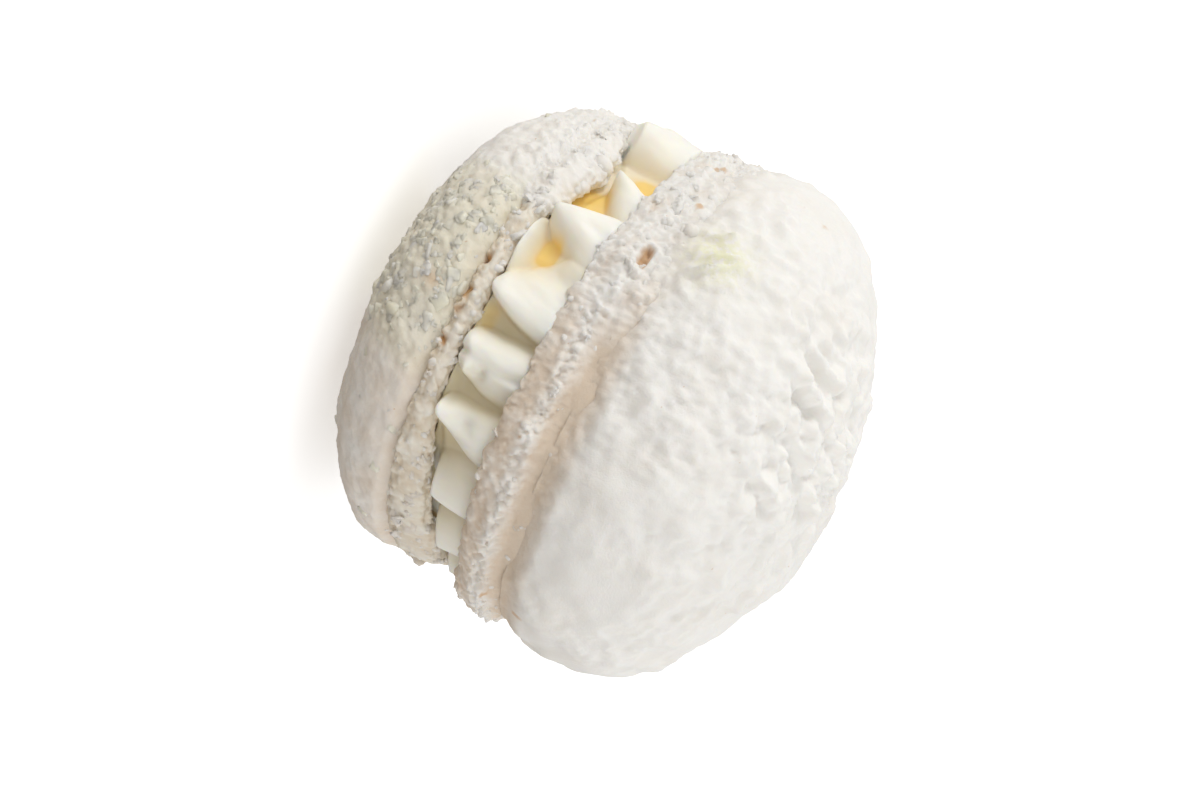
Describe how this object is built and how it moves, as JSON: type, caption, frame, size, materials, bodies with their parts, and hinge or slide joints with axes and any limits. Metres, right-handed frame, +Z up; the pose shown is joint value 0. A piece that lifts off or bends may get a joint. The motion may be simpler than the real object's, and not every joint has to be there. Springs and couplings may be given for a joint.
{
  "type": "french macaron",
  "caption": "Round sandwich biscuit of domed almond meringue shells with ruffled feet around a star-piped cream filling.",
  "frame": {"origin": "centre of the small flat spot under the lower shell, where the macaron rests on the table", "axes": "+Z up through both shells; -Y is the front, where the upper shell is raised and the filling stands tallest; +X to the right seen from the front"},
  "size_m": [0.0432, 0.0426, 0.0381],
  "materials": {
    "almond_shell": "dry, matt almond meringue, off-white, finely lumpy, with a crumbly foot",
    "buttercream": "smooth, slightly satiny vanilla buttercream, ivory to pale yellow"
  },
  "bodies": {
    "root": {"shell_upper": "almond_shell", "shell_lower": "almond_shell", "filling": "buttercream"}
  },
  "joints": []
}
